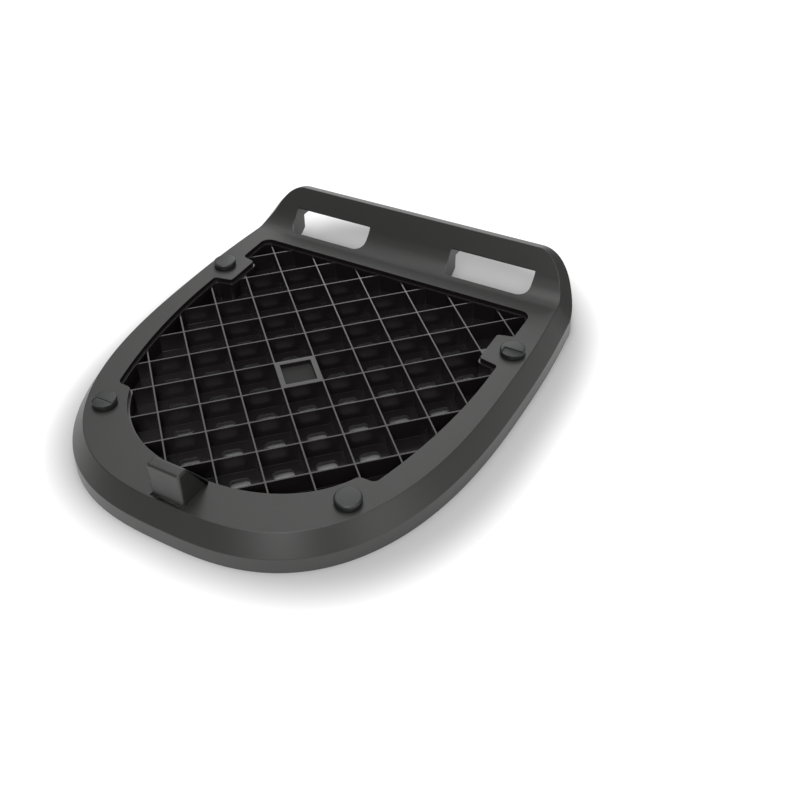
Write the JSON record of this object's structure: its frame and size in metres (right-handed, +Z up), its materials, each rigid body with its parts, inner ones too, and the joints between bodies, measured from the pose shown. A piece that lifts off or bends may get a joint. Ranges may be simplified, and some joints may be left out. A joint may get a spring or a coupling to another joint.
{
  "type": "top case mounting plate",
  "caption": "Black moulded mounting plate for a motorcycle top case, with a diagonal grid floor, a slotted tail lip, a latch hook and rubber buffers.",
  "frame": {"origin": "middle of the plan, on the foot of the skirt", "axes": "+Z up through the grid, +Y towards the slotted tail lip, -Y towards the latch hook, +X to the right seen from above with the tail away"},
  "size_m": [0.2502, 0.2943, 0.0456],
  "materials": {
    "black_moulded_plastic": "fine-grained moulded black",
    "black_rubber": "smooth moulded rubber"
  },
  "bodies": {
    "root": {"mounting_plate": "black_moulded_plastic", "buffer_tail_left": "black_rubber", "buffer_tail_right": "black_rubber", "buffer_nose_left": "black_rubber", "buffer_nose_right": "black_rubber"}
  },
  "joints": []
}
